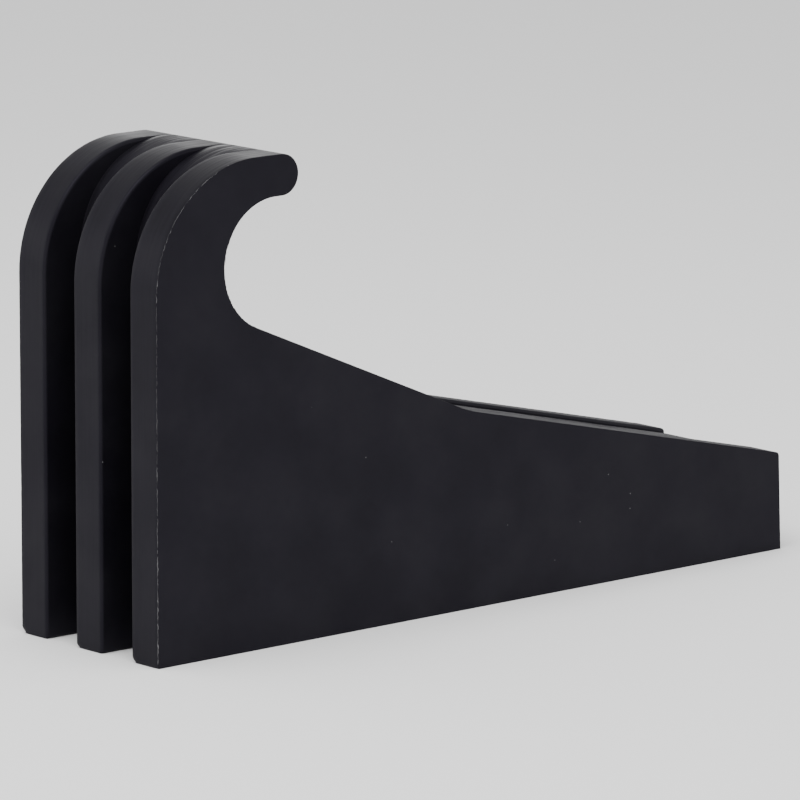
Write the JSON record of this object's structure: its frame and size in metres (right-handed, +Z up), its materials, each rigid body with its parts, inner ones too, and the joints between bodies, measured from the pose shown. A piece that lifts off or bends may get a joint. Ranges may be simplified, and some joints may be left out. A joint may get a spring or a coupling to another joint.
{
  "type": "leveling block",
  "caption": "Black leveling block: upright profile plates with webs between them form a hooked seat for round stock above a two-slope ramp.",
  "frame": {"origin": "middle of the base: the centre of the bounding box in X and Y, on the plane the block stands on", "axes": "+X from the heel to the toe, +Y from the plain near side to the far side with the screw heads, +Z up"},
  "size_m": [0.4064, 0.1016, 0.234],
  "materials": {
    "plate_plastic": "black sheet plastic, satin sawn faces, faint scuffs and pale trimmed edges",
    "web_plastic": "black sheet plastic, satin",
    "sleeve_plastic": "black turned plastic",
    "black_screw_steel": "black oxide on steel, slightly oily",
    "zinc_washer_steel": "zinc plated",
    "insert_brass": "machined brass"
  },
  "bodies": {
    "root": {"near_plate": "plate_plastic", "middle_plate": "plate_plastic", "far_plate": "plate_plastic", "near_web": "web_plastic", "far_web": "web_plastic", "near_sleeve_heel": "sleeve_plastic", "far_sleeve_heel": "sleeve_plastic", "near_sleeve_middle": "sleeve_plastic", "far_sleeve_middle": "sleeve_plastic", "screw_hook": "black_screw_steel", "screw_back": "black_screw_steel", "screw_steep_ramp": "black_screw_steel", "screw_shallow_ramp": "black_screw_steel", "screw_toe": "black_screw_steel", "screw_heel": "black_screw_steel", "screw_middle": "black_screw_steel", "washer_hook": "zinc_washer_steel", "washer_back": "zinc_washer_steel", "washer_steep_ramp": "zinc_washer_steel", "washer_shallow_ramp": "zinc_washer_steel", "washer_toe": "zinc_washer_steel", "washer_heel": "zinc_washer_steel", "washer_middle": "zinc_washer_steel", "insert_hook": "insert_brass", "insert_back": "insert_brass", "insert_steep_ramp": "insert_brass", "insert_shallow_ramp": "insert_brass", "insert_toe": "insert_brass", "insert_heel": "insert_brass", "insert_middle": "insert_brass"}
  },
  "joints": []
}
